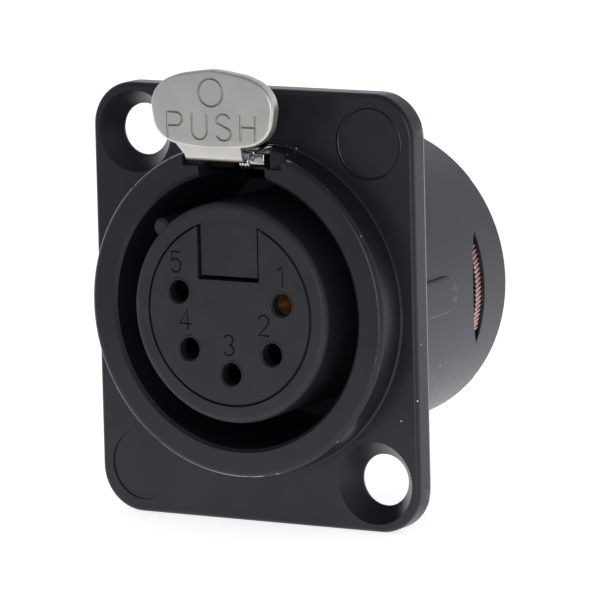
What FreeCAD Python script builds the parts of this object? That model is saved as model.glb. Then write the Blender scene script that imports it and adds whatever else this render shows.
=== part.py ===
import FreeCAD, Part
import math
import os

# Five-pin XLR panel socket. Millimetres. The origin lies on the socket's axis in the plane of
# the flange's back. The front faces -Y and +Z is up, so +X is on the right seen from the front.

# Flange and its fixings
FLANGE_W = 26.0
FLANGE_H = 31.0
FLANGE_T = 1.7
FLANGE_CORNER = 3.2
FLANGE_EDGE = 0.35
HOLE_IN = 3.5
HOLE_R = 1.85
SINK_WIDER = 1.1
SINK_DEEP = 1.5
DISH_R = 2.6
DISH_DEEP = 0.12

# Round sizes, from the circle of the contacts outwards
CONTACT_CIRCLE_R = 4.32
CARRIER_RIM = 2.23
JOINT_GAP = 0.08
SLEEVE_WALL = 1.22
PLUG_ROOM = 1.95
COLLAR_WALL = 2.05
SEAT_STEP = 0.35
BODY_TAPER = 0.95

# Collar and body of the casting
COLLAR_OUT = 2.7
COLLAR_EDGE = 0.45
MOUTH_BEVEL = 0.24
BODY_LONG = 15.7
BODY_EDGE = 0.3
SEAT_Y = 9.2

# Pad and window on the body's right side
PAD_END = 6.5
PAD_HALF = 1.3
PAD_UP = 0.5
PAD_OUT = 0.45
WINDOW_LONG = 1.85
WINDOW_OVER_RING = 0.9
WINDOW_HALF = 4.0

# Channel of the latch
LEDGE_UP = 0.15
SLOT_TALL = 1.7
SLOT_SIDE_ROOM = 0.4
SLOT_REAR_ROOM = 1.2
HOOK_SIDE_ROOM = 0.3
HOOK_FRONT_ROOM = 0.4
HOOK_REAR_ROOM = 0.7
RECESS_WIDER = 1.3
RECESS_UP = 0.4
RECESS_DEEP = 0.75

# Insert
INSERT_PROUD = 0.78
SLEEVE_EDGE = 0.5
SLEEVE_FLANGE_T = 1.6
SEAT_GAP = 0.1
TONGUE_HALF = 2.28
TONGUE_LOW = 2.6
TONGUE_BACK = 0.18
TONGUE_LONG = 8.0
TONGUE_SIDE_GAP = 0.2
TONGUE_LOW_GAP = 0.3
KEY_R = 0.62
KEY_ANGLE = 134.5
KEY_LONG = 9.5
CAP_IN = 1.3

# Contacts, as angles from the lowest one
CONTACT_ANGLES = (101.0, 51.0, 0.0, -51.0, -108.0)
PIN_HOLE_R = 0.8
PIN_HOLE_BEVEL = 0.12
PIN_HOLE_DEEP = 0.95
CONTACT_R = 1.15
CONTACT_BORE_LONG = 8.0
CONTACT_CLEAR = 0.03
CONTACT_SLIT = 0.25
CONTACT_SLIT_LONG = 5.0
SHOULDER_OUT = 0.35
SHOULDER_LONG = 1.2
TAIL_IN = 0.05
CUP_OUT = 3.9
CUP_LONG = 3.6
CUP_BORE_R = 0.62

# Latch
TAB_OUT = 2.65
TAB_T = 1.15
TAB_HALF = 4.85
TAB_TALL = 5.3
TAB_FOOT_IN = 1.95
TAB_SIDE_UP = 2.3
TAB_SIDE_LONG = 0.6
TAB_TURN_IN = 1.25
TAB_ARCH = 0.85
TAB_EDGE = 0.35
NECK_LEFT = 2.3
NECK_RIGHT = 1.75
NECK_ROUND = 0.5
NECK_TALL = 1.18
PLATE_T = 0.8
BEND_R = 1.15
ARM_RISE = 0.85
ARM_LEVEL_BACK = 0.98
ARM_REST_GAP = 0.12
PIN_IN = 1.47
PIN_UP = 0.49
PIN_R = 0.4
PIN_RIGHT_IN = 0.9
PIN_LEFT_IN = 2.2
PIN_CLEAR = 0.03
BARREL_R = 0.85
BARREL_RIGHT = -0.1
COIL_ROOM_LONG = 1.97
HOOK_HALF = 1.3
HOOK_DROP = 1.32
HOOK_RAMP_BACK = 2.03
HOOK_RAMP_LONG = 1.55
HOOK_FLAT = 0.75

# Spring on the pin
WIRE_R = 0.1
WIRE_SIDES = 6
COIL_TURNS = 4
COIL_PITCH = 0.21
COIL_SIDE_GAP = 0.2
COIL_CLEAR = 0.03
LEG_SHORT = 0.5
ANCHOR_BACK = 2.03
ANCHOR_UP = 0.86
ANCHOR_DEEP = 0.35

# Ground contact and retaining ring
GROUND_ANGLE = 34.0
GROUND_HALF = 0.8
GROUND_T = 0.25
GROUND_FRONT_IN = 0.7
GROUND_BOW = 0.35
GROUND_GROOVE_GAP = 0.1
GROUND_TAIL_IN = 0.5
GROUND_TAIL_LONG = 3.2
GROUND_EYE_R = 0.55
RING_WIDE = 1.3
RING_DEEP = 0.55
RING_IN = 0.75
RING_GAP_HALF_DEG = 9.0
RING_SCORE = 0.12

# Radii worked out from the sizes above
CARRIER_R = CONTACT_CIRCLE_R + CARRIER_RIM
SLEEVE_BORE_R = CARRIER_R + JOINT_GAP
SLEEVE_R = SLEEVE_BORE_R + SLEEVE_WALL
BORE_R = SLEEVE_R + PLUG_ROOM
COLLAR_R = BORE_R + COLLAR_WALL
BODY_REAR_R = COLLAR_R - BODY_TAPER
SEAT_R = BORE_R + SEAT_STEP
GROOVE_R = SEAT_R + RING_DEEP
RING_INNER_R = SEAT_R - RING_IN
CAP_R = RING_INNER_R - SEAT_GAP
GROUND_R = SEAT_R - GROUND_GROOVE_GAP
SHOULDER_R = CONTACT_R + SHOULDER_OUT
TAIL_R = CONTACT_R - TAIL_IN
SINK_R = HOLE_R + SINK_WIDER
COIL_R = PIN_R + COIL_CLEAR + WIRE_R

# Places along the axis
FLANGE_FRONT = -FLANGE_T
COLLAR_FRONT = FLANGE_FRONT - COLLAR_OUT
INSERT_FRONT = COLLAR_FRONT - INSERT_PROUD
CONTACT_FRONT = INSERT_FRONT + PIN_HOLE_DEEP
FLANGE_REAR_Y = SEAT_Y + SLEEVE_FLANGE_T
SHOULDER_Y = FLANGE_REAR_Y - SHOULDER_LONG
RING_Y = FLANGE_REAR_Y + SEAT_GAP
RING_REAR = RING_Y + RING_WIDE
WINDOW_REAR = RING_Y + WINDOW_OVER_RING
WINDOW_FRONT = WINDOW_REAR - WINDOW_LONG
CAP_REAR = BODY_LONG - CAP_IN
CUP_REAR = BODY_LONG + CUP_OUT
GROUND_FRONT = COLLAR_FRONT + GROUND_FRONT_IN
GROUND_TAIL_Y = BODY_LONG - GROUND_TAIL_IN
TAB_FRONT = COLLAR_FRONT - TAB_OUT
TAB_BACK = TAB_FRONT + TAB_T
PIN_Y = COLLAR_FRONT + PIN_IN
ARM_LEVEL_FROM = PIN_Y + ARM_LEVEL_BACK
COIL_ROOM_FRONT = PIN_Y - COIL_ROOM_LONG
HOOK_RAMP_Y = PIN_Y + HOOK_RAMP_BACK
HOOK_TIP_Y = HOOK_RAMP_Y + HOOK_RAMP_LONG
HOOK_BACK_Y = HOOK_TIP_Y + HOOK_FLAT
HOOK_SLOT_FRONT = HOOK_RAMP_Y - HOOK_FRONT_ROOM
HOOK_SLOT_REAR = HOOK_BACK_Y + HOOK_REAR_ROOM
SLOT_REAR = HOOK_BACK_Y + SLOT_REAR_ROOM
LEG_REAR_Y = HOOK_BACK_Y - LEG_SHORT
ANCHOR_Y = PIN_Y + ANCHOR_BACK

# Heights, from the ledges of the latch's channel upwards
LEDGE_Z = BORE_R + LEDGE_UP
SLOT_TOP = LEDGE_Z + SLOT_TALL
RECESS_Z = BORE_R + RECESS_UP
ARM_LOW = LEDGE_Z + ARM_REST_GAP
HOOK_TIP_Z = ARM_LOW - HOOK_DROP
PIN_Z = ARM_LOW + PIN_UP
ANCHOR_Z = PIN_Z + ANCHOR_UP
BEND_LOW = ARM_LOW + ARM_RISE
TAB_LOW = BEND_LOW + NECK_TALL
TAB_SIDE_LOW = TAB_LOW + TAB_SIDE_UP
TAB_SIDE_HIGH = TAB_SIDE_LOW + TAB_SIDE_LONG
TAB_PEAK = TAB_LOW + TAB_TALL
TAB_TURN_Z = TAB_PEAK - TAB_ARCH

# Places across
HOLE_X = FLANGE_W / 2 - HOLE_IN
HOLE_Z = FLANGE_H / 2 - HOLE_IN
SLOT_HALF = NECK_LEFT + SLOT_SIDE_ROOM
HOOK_SLOT_HALF = HOOK_HALF + HOOK_SIDE_ROOM
RECESS_HALF = SLOT_HALF + RECESS_WIDER
TAB_FOOT_HALF = TAB_HALF - TAB_FOOT_IN
TAB_TURN_HALF = TAB_HALF - TAB_TURN_IN
PIN_RIGHT = SLOT_HALF + PIN_RIGHT_IN
PIN_LEFT = -SLOT_HALF - PIN_LEFT_IN
COIL_LEFT = BARREL_RIGHT + COIL_SIDE_GAP
COIL_LONG = COIL_TURNS * COIL_PITCH
COIL_RIGHT = COIL_LEFT + COIL_LONG

ORIGIN = FreeCAD.Vector(0, 0, 0)
ALONG_X = FreeCAD.Vector(1, 0, 0)
ALONG_Y = FreeCAD.Vector(0, 1, 0)


def point(x, y, z):
    return FreeCAD.Vector(x, y, z)


def rod_x(radius, left, right, y, z):
    return Part.makeCylinder(radius, right - left, point(left, y, z), ALONG_X)


def rod_y(radius, front, rear, x=0.0, z=0.0):
    return Part.makeCylinder(radius, rear - front, point(x, front, z), ALONG_Y)


def cone_y(front_r, rear_r, front, rear, x=0.0, z=0.0):
    return Part.makeCone(front_r, rear_r, rear - front, point(x, front, z), ALONG_Y)


def block(x0, x1, y0, y1, z0, z1):
    return Part.makeBox(x1 - x0, y1 - y0, z1 - z0, point(x0, y0, z0))


def polygon_face(points):
    return Part.Face(Part.makePolygon(points + [points[0]]))


def turned(profile):
    # The profile is a list of radius and y pairs, turned round the socket's axis
    face = polygon_face([point(radius, y, 0) for radius, y in profile])
    return face.revolve(ORIGIN, ALONG_Y, 360)


def arc(start, through, end):
    return Part.Arc(start, through, end).toShape()


def line(start, end):
    return Part.makeLine(start, end)


def on_circle(radius, angle, y):
    return point(radius * math.cos(math.radians(angle)), y, radius * math.sin(math.radians(angle)))


def body_r(y):
    return COLLAR_R + (BODY_REAR_R - COLLAR_R) * y / BODY_LONG


def contact_place(angle):
    turn = math.radians(angle)
    return CONTACT_CIRCLE_R * math.sin(turn), -CONTACT_CIRCLE_R * math.cos(turn)


def edges_at_y(shape, y, low_r, high_r):
    # Round edges in the plane y whose radius lies between the two limits
    chosen = []
    for edge in shape.Edges:
        box = edge.BoundBox
        if abs(box.YMin - y) < 1e-4 and abs(box.YMax - y) < 1e-4:
            reach = max(box.XMax, box.ZMax)
            if low_r < reach < high_r:
                chosen.append(edge)
    return chosen


# Shell

def flange():
    plate = block(-FLANGE_W / 2, FLANGE_W / 2, FLANGE_FRONT, 0, -FLANGE_H / 2, FLANGE_H / 2)
    corners = []
    for edge in plate.Edges:
        if edge.BoundBox.YLength > FLANGE_T / 2:
            corners.append(edge)
    plate = plate.makeFillet(FLANGE_CORNER, corners)
    rim = []
    for edge in plate.Edges:
        if abs(edge.BoundBox.YMax - FLANGE_FRONT) < 1e-6:
            rim.append(edge)
    return plate.makeFillet(FLANGE_EDGE, rim)


def shell_round():
    collar = rod_y(COLLAR_R, COLLAR_FRONT, 0)
    collar = collar.makeFillet(COLLAR_EDGE, edges_at_y(collar, COLLAR_FRONT, 0, 2 * COLLAR_R))
    body = cone_y(COLLAR_R, BODY_REAR_R, 0, BODY_LONG)
    body = body.makeChamfer(BODY_EDGE, edges_at_y(body, BODY_LONG, 0, 2 * COLLAR_R))
    return collar.fuse(body)


def shell_bore():
    mouth_r = BORE_R + MOUTH_BEVEL
    return turned([
        (0, COLLAR_FRONT - 1),
        (mouth_r, COLLAR_FRONT - 1),
        (mouth_r, COLLAR_FRONT),
        (BORE_R, COLLAR_FRONT + MOUTH_BEVEL),
        (BORE_R, SEAT_Y),
        (SEAT_R, SEAT_Y),
        (SEAT_R, RING_Y),
        (GROOVE_R, RING_Y),
        (GROOVE_R, RING_REAR),
        (SEAT_R, RING_REAR),
        (SEAT_R, BODY_LONG + 1),
        (0, BODY_LONG + 1)])


def side_pad():
    # A raised round-ended pad that follows the body's side
    reach = COLLAR_R + 2
    bar = block(0, reach, 0, PAD_END - PAD_HALF, PAD_UP - PAD_HALF, PAD_UP + PAD_HALF)
    end = rod_x(PAD_HALF, 0, reach, PAD_END - PAD_HALF, PAD_UP)
    outer = cone_y(body_r(0) + PAD_OUT, body_r(PAD_END) + PAD_OUT, 0, PAD_END)
    return bar.fuse(end).common(outer)


def side_window():
    # A lens-shaped opening in the round side, arched in front and straight behind, over the ring's groove
    low_x = math.sqrt(GROOVE_R ** 2 - WINDOW_HALF ** 2)
    bottom = point(low_x, WINDOW_REAR, -WINDOW_HALF)
    top = point(low_x, WINDOW_REAR, WINDOW_HALF)
    front = arc(bottom, point(low_x, WINDOW_FRONT, 0), top)
    outline = Part.Face(Part.Wire([front, line(top, bottom)]))
    return outline.extrude(point(COLLAR_R + 1 - low_x, 0, 0))


def latch_channel():
    front = COLLAR_FRONT - 1
    top = COLLAR_R + 1
    in_collar = block(-SLOT_HALF, SLOT_HALF, front, FLANGE_FRONT, 0, top)
    in_flange = block(-SLOT_HALF, SLOT_HALF, FLANGE_FRONT, 0, LEDGE_Z, SLOT_TOP)
    behind = block(-SLOT_HALF, SLOT_HALF, 0, SLOT_REAR, LEDGE_Z, top)
    hook_way = block(-HOOK_SLOT_HALF, HOOK_SLOT_HALF, HOOK_SLOT_FRONT, HOOK_SLOT_REAR, 0, LEDGE_Z + 0.1)
    recess = block(-RECESS_HALF, RECESS_HALF, front, COLLAR_FRONT + RECESS_DEEP, RECESS_Z, top)
    return in_collar.fuse([in_flange, behind, hook_way, recess])


def fixing_holes():
    holes = []
    for side in (-1, 1):
        x = side * HOLE_X
        z = -side * HOLE_Z
        through = rod_y(HOLE_R, FLANGE_FRONT - 1, 1, x, z)
        sink = cone_y(SINK_R, HOLE_R, FLANGE_FRONT, FLANGE_FRONT + SINK_DEEP, x, z)
        holes.append(through.fuse(sink))
    return holes


def corner_dishes():
    dishes = []
    for side in (-1, 1):
        x = side * HOLE_X
        z = side * HOLE_Z
        dishes.append(rod_y(DISH_R, FLANGE_FRONT - 1, FLANGE_FRONT + DISH_DEEP, x, z))
    return dishes


def pin_seat():
    return rod_x(PIN_R, -COLLAR_R, PIN_RIGHT, PIN_Y, PIN_Z)


def spring_anchor():
    return rod_x(WIRE_R, 0, SLOT_HALF + ANCHOR_DEEP, ANCHOR_Y, ANCHOR_Z)


def at_ground_angle(shape):
    # Shapes of the ground contact are drawn along +X and turned up to its angle
    turned_up = shape.copy()
    turned_up.rotate(ORIGIN, ALONG_Y, -GROUND_ANGLE)
    return turned_up


def ground_groove():
    wide = GROUND_HALF + GROUND_GROOVE_GAP
    return at_ground_angle(block(0, SEAT_R, GROUND_FRONT - GROUND_GROOVE_GAP, SEAT_Y, -wide, wide))


def shell():
    solid = shell_round().fuse([flange(), side_pad()])
    cuts = [shell_bore(), side_window(), latch_channel(), pin_seat(), spring_anchor(), ground_groove()]
    return solid.cut(cuts + fixing_holes() + corner_dishes()).removeSplitter()


# Insert

def ground_way():
    wide = GROUND_HALF + GROUND_GROOVE_GAP
    inner = GROUND_R - 2 * GROUND_T - GROUND_GROOVE_GAP
    return at_ground_angle(block(inner, SEAT_R, SEAT_Y - 1, FLANGE_REAR_Y + 1, -wide, wide))


def insert_sleeve():
    tube = rod_y(SLEEVE_R, INSERT_FRONT, SEAT_Y)
    tube = tube.makeFillet(SLEEVE_EDGE, edges_at_y(tube, INSERT_FRONT, 0, 2 * SLEEVE_R))
    rear = rod_y(SEAT_R - JOINT_GAP, SEAT_Y, FLANGE_REAR_Y)
    spot = on_circle(SLEEVE_R + KEY_R / 3, KEY_ANGLE, 0)
    key = rod_y(KEY_R, INSERT_FRONT + KEY_R / 2, INSERT_FRONT + KEY_LONG, spot.x, spot.z)
    key = key.makeChamfer(KEY_R / 3, edges_at_y(key, INSERT_FRONT + KEY_R / 2, -SLEEVE_R, SLEEVE_R))
    ring = tube.fuse([rear, key]).cut([rod_y(SLEEVE_BORE_R, INSERT_FRONT - 1, FLANGE_REAR_Y + 1), ground_way()])
    front = INSERT_FRONT + TONGUE_BACK
    tongue = block(-TONGUE_HALF, TONGUE_HALF, front, front + TONGUE_LONG, TONGUE_LOW, SLEEVE_R)
    tongue = tongue.common(rod_y(SLEEVE_R - SLEEVE_WALL / 2, front, front + TONGUE_LONG))
    return ring.fuse(tongue).removeSplitter()


def contact_carrier():
    plug = rod_y(CARRIER_R, INSERT_FRONT, FLANGE_REAR_Y)
    side = TONGUE_HALF + TONGUE_SIDE_GAP
    low = TONGUE_LOW - TONGUE_LOW_GAP
    rear = INSERT_FRONT + TONGUE_BACK + TONGUE_LONG + TONGUE_LOW_GAP
    cuts = [block(-side, side, INSERT_FRONT - 1, rear, low, SLEEVE_R)]
    for angle in CONTACT_ANGLES:
        x, z = contact_place(angle)
        bevel_r = PIN_HOLE_R + PIN_HOLE_BEVEL
        cuts.append(rod_y(PIN_HOLE_R, INSERT_FRONT - 1, CONTACT_FRONT + 1, x, z))
        cuts.append(cone_y(bevel_r, PIN_HOLE_R, INSERT_FRONT, INSERT_FRONT + PIN_HOLE_BEVEL, x, z))
        cuts.append(rod_y(CONTACT_R + CONTACT_CLEAR, CONTACT_FRONT - CONTACT_CLEAR, FLANGE_REAR_Y + 1, x, z))
        cuts.append(rod_y(SHOULDER_R + CONTACT_CLEAR, SHOULDER_Y - CONTACT_CLEAR, FLANGE_REAR_Y + 1, x, z))
    return plug.cut(cuts).removeSplitter()


def rear_cap():
    front = FLANGE_REAR_Y
    disc = rod_y(CAP_R, front, CAP_REAR)
    disc = disc.makeChamfer(BODY_EDGE, edges_at_y(disc, CAP_REAR, 0, 2 * CAP_R))
    wide = GROUND_HALF + GROUND_GROOVE_GAP
    inner = GROUND_R - 2 * GROUND_T - GROUND_GROOVE_GAP
    cuts = [at_ground_angle(block(inner, SEAT_R, front - 1, CAP_REAR + 1, -wide, wide))]
    for angle in CONTACT_ANGLES:
        x, z = contact_place(angle)
        cuts.append(rod_y(TAIL_R + CONTACT_CLEAR, front - 1, CAP_REAR + 1, x, z))
    return disc.cut(cuts).removeSplitter()


def contact(angle):
    x, z = contact_place(angle)
    tube = rod_y(CONTACT_R, CONTACT_FRONT, SHOULDER_Y, x, z)
    shoulder = rod_y(SHOULDER_R, SHOULDER_Y, FLANGE_REAR_Y, x, z)
    tail = rod_y(TAIL_R, FLANGE_REAR_Y, CUP_REAR, x, z)
    bore = rod_y(PIN_HOLE_R, CONTACT_FRONT - 1, CONTACT_FRONT + CONTACT_BORE_LONG, x, z)
    slit = block(x - CONTACT_SLIT / 2, x + CONTACT_SLIT / 2, CONTACT_FRONT - 1,
                 CONTACT_FRONT + CONTACT_SLIT_LONG, z - 2 * CONTACT_R, z + 2 * CONTACT_R)
    cup = rod_y(CUP_BORE_R, CUP_REAR - CUP_LONG, CUP_REAR + 1, x, z)
    # The cup is open towards the top over its rear two thirds
    open_side = block(x - 2 * TAIL_R, x + 2 * TAIL_R, CUP_REAR - CUP_LONG * 2 / 3,
                      CUP_REAR + 1, z + TAIL_R / 4, z + 2 * TAIL_R)
    return tube.fuse([shoulder, tail]).cut([bore, slit, cup, open_side]).removeSplitter()


# Latch

def tab_outline(y, inset):
    # Round lower corners, short straight sides, tighter upper corners and a low peaked arch
    half = TAB_HALF - inset
    low = TAB_LOW + inset
    turn_z = TAB_TURN_Z - inset
    peak = TAB_PEAK - inset
    diagonal = math.sqrt(0.5)
    low_x = TAB_FOOT_HALF + (half - TAB_FOOT_HALF) * diagonal
    low_z = TAB_SIDE_LOW - (TAB_SIDE_LOW - low) * diagonal
    high_x = TAB_TURN_HALF + (half - TAB_TURN_HALF) * diagonal
    high_z = TAB_SIDE_HIGH + (turn_z - TAB_SIDE_HIGH) * diagonal
    arch_z = turn_z + (peak - turn_z) * 0.68
    edges = [line(point(-TAB_FOOT_HALF, y, low), point(TAB_FOOT_HALF, y, low))]
    right = [
        arc(point(TAB_FOOT_HALF, y, low), point(low_x, y, low_z), point(half, y, TAB_SIDE_LOW)),
        line(point(half, y, TAB_SIDE_LOW), point(half, y, TAB_SIDE_HIGH)),
        arc(point(half, y, TAB_SIDE_HIGH), point(high_x, y, high_z), point(TAB_TURN_HALF, y, turn_z)),
        arc(point(TAB_TURN_HALF, y, turn_z), point(TAB_TURN_HALF / 2, y, arch_z), point(0, y, peak))]
    left = [edge.mirror(ORIGIN, ALONG_X) for edge in reversed(right)]
    return Part.Wire(edges + right + left)


def tab_plate():
    bevel_y = TAB_FRONT + TAB_EDGE
    bevel = Part.makeLoft([tab_outline(TAB_FRONT, TAB_EDGE), tab_outline(bevel_y, 0)], True, True)
    plate = Part.Face(tab_outline(bevel_y, 0)).extrude(point(0, TAB_T - TAB_EDGE, 0))
    return plate.fuse(bevel)


def lever_side():
    # Side view of neck, bend, arm and hook, from the tab's foot round to the hook
    bend_in = BEND_R - PLATE_T
    front = TAB_FRONT
    top = TAB_LOW + 1
    bend_y = front + BEND_R
    bend_z = BEND_LOW + BEND_R
    half = math.sqrt(0.5)
    arm_high = ARM_LOW + PLATE_T
    x = -NECK_LEFT
    outer_mid = point(x, bend_y - BEND_R * half, bend_z - BEND_R * half)
    inner_mid = point(x, bend_y - bend_in * half, bend_z - bend_in * half)
    corners = [
        point(x, front, top),
        point(x, front, bend_z),
        point(x, bend_y, BEND_LOW),
        point(x, ARM_LEVEL_FROM, ARM_LOW),
        point(x, HOOK_BACK_Y, ARM_LOW),
        point(x, HOOK_BACK_Y, arm_high),
        point(x, ARM_LEVEL_FROM, arm_high),
        point(x, bend_y, BEND_LOW + PLATE_T),
        point(x, front + PLATE_T, bend_z),
        point(x, front + PLATE_T, top)]
    edges = [
        line(corners[0], corners[1]),
        arc(corners[1], outer_mid, corners[2]),
        line(corners[2], corners[3]),
        line(corners[3], corners[4]),
        line(corners[4], corners[5]),
        line(corners[5], corners[6]),
        line(corners[6], corners[7]),
        arc(corners[7], inner_mid, corners[8]),
        line(corners[8], corners[9]),
        line(corners[9], corners[0])]
    return Part.Face(Part.Wire(edges)).extrude(point(NECK_LEFT + NECK_RIGHT, 0, 0))


def lever_hook():
    x = -HOOK_HALF
    profile = [
        point(x, HOOK_RAMP_Y, ARM_LOW + PLATE_T / 2),
        point(x, HOOK_RAMP_Y, ARM_LOW),
        point(x, HOOK_TIP_Y, HOOK_TIP_Z),
        point(x, HOOK_BACK_Y, HOOK_TIP_Z),
        point(x, HOOK_BACK_Y, ARM_LOW + PLATE_T / 2)]
    return polygon_face(profile).extrude(point(2 * HOOK_HALF, 0, 0))


def neck_round():
    # Hollow round where the neck's left side widens into the tab
    side = -NECK_LEFT - NECK_ROUND
    low = TAB_LOW - NECK_ROUND
    web = block(side, -NECK_LEFT, TAB_FRONT, TAB_FRONT + PLATE_T, low, TAB_LOW + TAB_EDGE)
    return web.cut(rod_y(NECK_ROUND, TAB_FRONT - 1, TAB_BACK + 1, side, low))


def latch_lever():
    plate = tab_plate().fuse([lever_side(), neck_round()])
    coil_room = block(BARREL_RIGHT, NECK_RIGHT + 1, COIL_ROOM_FRONT, ARM_LEVEL_FROM, ARM_LOW - 1, TAB_LOW)
    barrel = rod_x(BARREL_R, -NECK_LEFT, BARREL_RIGHT, PIN_Y, PIN_Z)
    hole = rod_x(PIN_R + PIN_CLEAR, -NECK_LEFT - 1, NECK_RIGHT + 1, PIN_Y, PIN_Z)
    return plate.cut(coil_room).fuse([barrel, lever_hook()]).cut(hole).removeSplitter()


def latch_pin():
    pin = rod_x(PIN_R, PIN_LEFT, PIN_RIGHT, PIN_Y, PIN_Z)
    return pin.makeChamfer(PIN_R / 4, [pin.Edges[0], pin.Edges[2]])


def wire_ring(centre, radial, tangent):
    # Six-sided section of the spring wire, square to the tangent
    across = tangent.cross(radial)
    across.normalize()
    corners = []
    for number in range(WIRE_SIDES):
        turn = 2 * math.pi * number / WIRE_SIDES
        corners.append(centre + radial * (WIRE_R * math.cos(turn)) + across * (WIRE_R * math.sin(turn)))
    return Part.makePolygon(corners + [corners[0]])


def wire_bar(start, end):
    along = end - start
    radial = along.cross(ALONG_X) if abs(along.x) < abs(along.y) else along.cross(ALONG_Y)
    radial.normalize()
    return Part.Face(wire_ring(start, radial, along)).extrude(along)


def latch_spring():
    helix = Part.makeHelix(COIL_PITCH, COIL_LONG, COIL_R)
    section = wire_ring(point(COIL_R, 0, 0), point(1, 0, 0), point(0, COIL_R, COIL_PITCH / 2 / math.pi))
    coil = Part.Wire(helix).makePipeShell([section], True, True)
    # The helix's axis turns from +Z to +X and its ends come out on top of the coil
    coil.rotate(ORIGIN, ALONG_Y, 90)
    coil.rotate(ORIGIN, ALONG_X, 180)
    coil.translate(point(COIL_LEFT, PIN_Y, PIN_Z))
    top = PIN_Z + COIL_R
    arm_high = ARM_LOW + PLATE_T
    near = wire_bar(point(COIL_LEFT, PIN_Y, top), point(COIL_LEFT, LEG_REAR_Y, arm_high + WIRE_R))
    far = wire_bar(point(COIL_RIGHT, PIN_Y, top), point(COIL_RIGHT, ANCHOR_Y, ANCHOR_Z))
    end = SLOT_HALF + ANCHOR_DEEP - WIRE_R
    across = wire_bar(point(COIL_RIGHT - WIRE_R, ANCHOR_Y, ANCHOR_Z), point(end, ANCHOR_Y, ANCHOR_Z))
    return coil.fuse([near, far, across])


# Ground contact and retaining ring

def ground_contact():
    # A strip in its groove, bowed into the bore at the front, with a solder eye bent inwards behind
    outer = GROUND_R
    inner = outer - GROUND_T
    z = -GROUND_HALF
    bow = BORE_R - GROUND_BOW
    rear = SEAT_Y - 1
    middle = (GROUND_FRONT + rear) / 2
    back = Part.Wire([
        arc(point(inner, GROUND_FRONT, z), point(bow, middle, z), point(inner, rear, z)),
        line(point(inner, rear, z), point(outer, rear, z)),
        arc(point(outer, rear, z), point(bow + GROUND_T, middle, z), point(outer, GROUND_FRONT, z)),
        line(point(outer, GROUND_FRONT, z), point(inner, GROUND_FRONT, z))])
    spring = Part.Face(back).extrude(point(0, 0, 2 * GROUND_HALF))
    strip = block(inner, outer, rear, GROUND_TAIL_Y, z, GROUND_HALF)
    tail_in = outer - GROUND_TAIL_LONG
    tail = block(tail_in, outer, GROUND_TAIL_Y - GROUND_T, GROUND_TAIL_Y, z, GROUND_HALF)
    end = rod_y(GROUND_HALF, GROUND_TAIL_Y - GROUND_T, GROUND_TAIL_Y, tail_in, 0)
    eye = rod_y(GROUND_EYE_R, GROUND_TAIL_Y - 1, GROUND_TAIL_Y + 1, tail_in, 0)
    return at_ground_angle(spring.fuse([strip, tail, end]).cut(eye).removeSplitter())


def retaining_ring():
    gap = JOINT_GAP / 2
    front = RING_Y + gap
    rear = RING_REAR - gap
    outer = GROOVE_R - gap
    score = rod_y(outer + 1, (front + rear - RING_SCORE) / 2, (front + rear + RING_SCORE) / 2)
    score = score.cut(rod_y(outer - RING_SCORE, front, rear))
    ring = rod_y(outer, front, rear).cut([rod_y(RING_INNER_R, front - 1, rear + 1), score])
    far = 2 * GROOVE_R
    low = on_circle(far, GROUND_ANGLE - RING_GAP_HALF_DEG, front - 1)
    high = on_circle(far, GROUND_ANGLE + RING_GAP_HALF_DEG, front - 1)
    opening = polygon_face([point(0, front - 1, 0), low, high]).extrude(point(0, RING_WIDE + 2, 0))
    return ring.cut(opening).removeSplitter()


def export(shape, name):
    shape.exportStep("parts/" + name + ".step")


os.makedirs("parts", exist_ok=True)
export(shell(), "shell")
export(insert_sleeve(), "insert_sleeve")
export(contact_carrier(), "contact_carrier")
export(rear_cap(), "rear_cap")
for number, angle in enumerate(CONTACT_ANGLES, 1):
    export(contact(angle), "contact_" + str(number))
export(latch_lever(), "latch_lever")
export(latch_pin(), "latch_pin")
export(latch_spring(), "latch_spring")
export(ground_contact(), "ground_contact")
export(retaining_ring(), "retaining_ring")
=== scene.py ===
import math

import bmesh
import bpy
from mathutils import Matrix, Vector


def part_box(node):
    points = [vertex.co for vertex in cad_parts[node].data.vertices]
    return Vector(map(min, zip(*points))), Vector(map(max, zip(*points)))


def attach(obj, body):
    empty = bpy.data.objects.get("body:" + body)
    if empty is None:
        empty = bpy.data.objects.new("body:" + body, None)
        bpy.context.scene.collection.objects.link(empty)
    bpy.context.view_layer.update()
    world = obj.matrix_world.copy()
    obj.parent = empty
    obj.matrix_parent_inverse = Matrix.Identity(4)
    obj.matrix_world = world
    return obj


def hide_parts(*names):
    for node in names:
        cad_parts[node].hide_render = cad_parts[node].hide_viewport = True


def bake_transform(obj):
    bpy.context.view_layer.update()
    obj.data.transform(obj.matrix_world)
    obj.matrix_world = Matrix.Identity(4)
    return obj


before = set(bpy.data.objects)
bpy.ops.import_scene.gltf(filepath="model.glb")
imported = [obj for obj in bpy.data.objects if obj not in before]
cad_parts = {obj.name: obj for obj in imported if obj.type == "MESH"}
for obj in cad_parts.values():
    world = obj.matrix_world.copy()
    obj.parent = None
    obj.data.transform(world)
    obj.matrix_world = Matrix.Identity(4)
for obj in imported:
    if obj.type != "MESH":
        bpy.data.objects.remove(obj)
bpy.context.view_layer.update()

# Five-pin panel socket: black painted die casting, moulded insert, sprung metal latch.
# Sizes are in millimetres and angles in degrees, turned to metres and radians where they are used.
# The front looks along -Y, the latch is at the top (+Z), and +X is to the right from the front.
MM = 0.001
WELD = 0.0005

# Camera: where the photograph was taken from
CAMERA_TURN = 30.329
CAMERA_RISE = 9.078
CAMERA_ROLL = -1.327
CAMERA_AWAY = 432.25
CAMERA_AIM = (2.735, 0.0, 0.354)
CAMERA_LENS = 367.95
CAMERA_SENSOR = 36

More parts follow.
